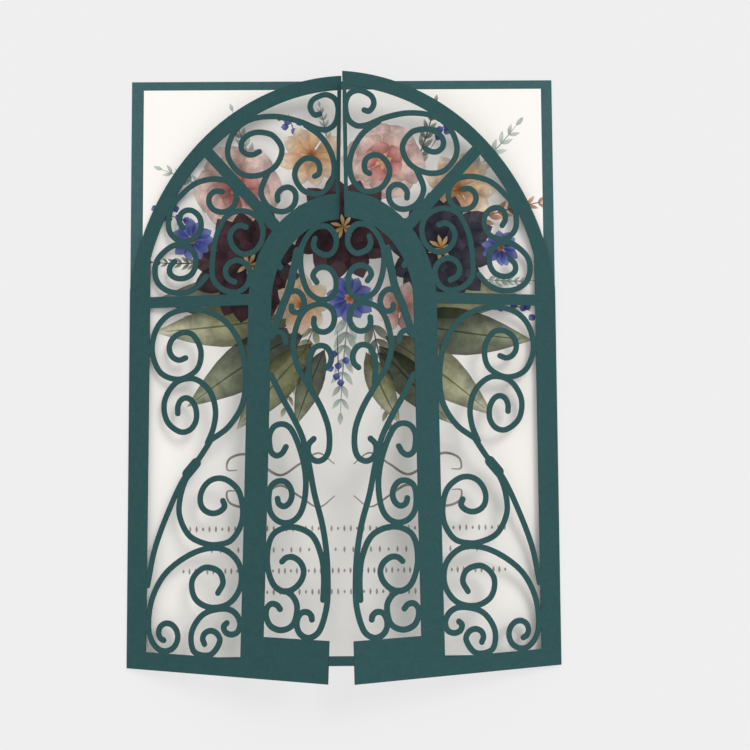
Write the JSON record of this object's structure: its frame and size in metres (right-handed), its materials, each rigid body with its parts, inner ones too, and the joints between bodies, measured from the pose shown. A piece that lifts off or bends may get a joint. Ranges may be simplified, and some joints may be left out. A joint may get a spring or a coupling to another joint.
{
  "type": "laser cut invitation jacket",
  "caption": "Folded paper jacket with an arched panel, two openwork scroll leaves standing ajar, and a flat invitation card lying inside.",
  "frame": {"origin": "middle of the underside of the closed jacket's back panel, on the surface it lies on", "axes": "+X across the jacket to the right leaf, +Y up the page towards the arch, +Z out of the page"},
  "size_m": [0.1344, 0.1844, 0.0251],
  "materials": {
    "jacket_paper": "dark teal card, soft satin",
    "card_stock": "warm white card, matt, printed"
  },
  "bodies": {
    "root": {"jacket": "jacket_paper", "invitation_card": "card_stock"}
  },
  "joints": []
}
